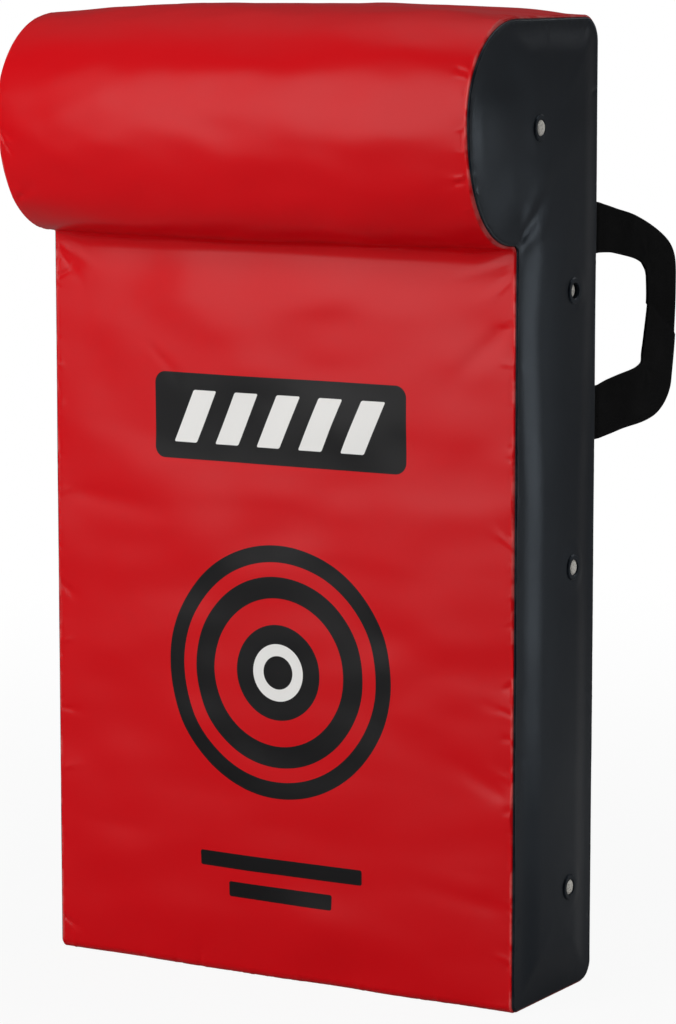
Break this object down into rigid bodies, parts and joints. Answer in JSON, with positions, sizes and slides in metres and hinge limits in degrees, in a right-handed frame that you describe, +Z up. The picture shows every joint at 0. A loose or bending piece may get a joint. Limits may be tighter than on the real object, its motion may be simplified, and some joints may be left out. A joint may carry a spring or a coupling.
{
  "type": "tackle shield",
  "caption": "Padded tackle shield with a rounded roll along its top, a sewn cover over foam, webbing hand loops and a zipped back.",
  "frame": {"origin": "centre of the base's underside, on the surface the shield stands on", "axes": "+Z up the shield, -Y out of its striking face, +X to the right seen from the front"},
  "size_m": [0.4522, 0.3749, 0.808],
  "materials": {
    "red_cover": "satin",
    "black_cover": "satin",
    "foam": "matte",
    "webbing": "matte",
    "eyelet": "satin",
    "zip_tape": "matte",
    "zip_metal": "satin"
  },
  "bodies": {
    "root": {"front_panel": "red_cover", "roll_cover": "red_cover", "base_panel": "red_cover", "side_panel_right": "black_cover", "back_panel_right": "black_cover", "side_panel_left": "black_cover", "back_panel_left": "black_cover", "foam_slab": "foam", "foam_nose": "foam", "loop_tail_right_upper": "webbing", "loop_tail_right_lower": "webbing", "eyelet_right_1": "eyelet", "eyelet_washer_right_1": "eyelet", "eyelet_right_2": "eyelet", "eyelet_washer_right_2": "eyelet", "eyelet_right_3": "eyelet", "eyelet_washer_right_3": "eyelet", "eyelet_right_4": "eyelet", "eyelet_washer_right_4": "eyelet", "zip_half_right": "zip_tape", "zip_top_stop_right": "zip_tape", "loop_tail_left_upper": "webbing", "loop_tail_left_lower": "webbing", "eyelet_left_1": "eyelet", "eyelet_washer_left_1": "eyelet", "eyelet_left_2": "eyelet", "eyelet_washer_left_2": "eyelet", "eyelet_left_3": "eyelet", "eyelet_washer_left_3": "eyelet", "eyelet_left_4": "eyelet", "eyelet_washer_left_4": "eyelet", "zip_half_left": "zip_tape", "zip_top_stop_left": "zip_tape", "zip_bottom_stop": "zip_tape"},
    "hand_loop_right": {"hand_loop_right": "webbing"},
    "hand_loop_left": {"hand_loop_left": "webbing"},
    "zip_slider": {"zip_slider": "zip_metal"},
    "zip_pull": {"zip_pull": "zip_metal"}
  },
  "joints": [
    {"name": "hand_loop_right_swing", "type": "hinge", "parent": "root", "child": "hand_loop_right", "pos_m": [0.21845, 0.0715, 0.55175], "axis": [0, 0, -1], "range_deg": [-87, 110]},
    {"name": "hand_loop_left_swing", "type": "hinge", "parent": "root", "child": "hand_loop_left", "pos_m": [-0.21845, 0.0715, 0.55175], "axis": [0, 0, 1], "range_deg": [-87, 110]},
    {"name": "zip_slide", "type": "slide", "parent": "root", "child": "zip_slider", "axis": [0, 0, -1], "range_m": [0, 0.589], "deforming": ["zip_half_right", "zip_half_left"]},
    {"name": "zip_pull_lift", "type": "hinge", "parent": "zip_slider", "child": "zip_pull", "pos_m": [0, 0.0773, 0.696], "axis": [1, 0, 0], "range_deg": [0, 175]}
  ]
}
